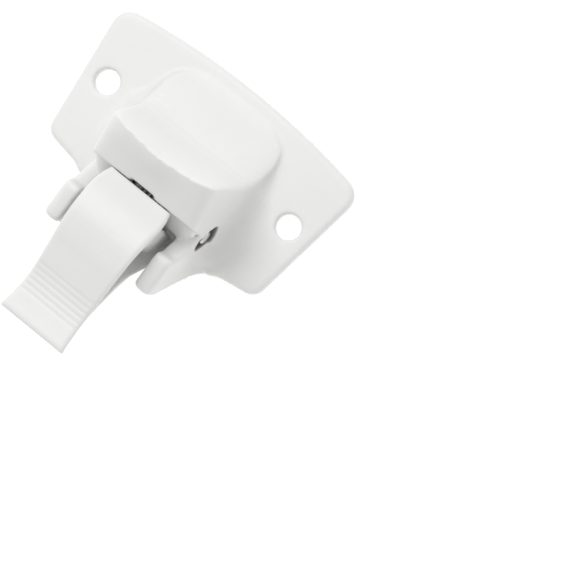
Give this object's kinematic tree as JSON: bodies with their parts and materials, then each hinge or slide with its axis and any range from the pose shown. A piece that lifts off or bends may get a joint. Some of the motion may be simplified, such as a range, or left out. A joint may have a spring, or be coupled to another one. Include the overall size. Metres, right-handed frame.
{
  "type": "window stay catch",
  "caption": "Small moulded plastic catch: hooded base plate with screw holes and two guide fins, and a sprung wedge lever pressed with the thumb.",
  "frame": {"origin": "centre of the object's outline on the mounting surface, at the back face of the plate", "axes": "+Z out of the mounting surface towards the user, +Y from the lever's tip towards the arched edge of the plate, +X along the line of the screw holes"},
  "size_m": [0.0622, 0.0648, 0.0339],
  "materials": {
    "white_plastic": "satin moulded",
    "bright_steel": "drawn wire and rod"
  },
  "bodies": {
    "base": {"base_housing": "white_plastic", "pivot_pin": "bright_steel", "torsion_spring": "bright_steel"},
    "lever": {"latch_lever": "white_plastic"}
  },
  "joints": [
    {"name": "lever_pivot", "type": "hinge", "parent": "base", "child": "lever", "pos_m": [0, 0.003, 0.0105], "axis": [1, 0, 0], "range_deg": [0, 25], "stiffness_Nm_per_rad": 0.02, "springref_deg": -20.05, "deforming": ["torsion_spring"]}
  ]
}
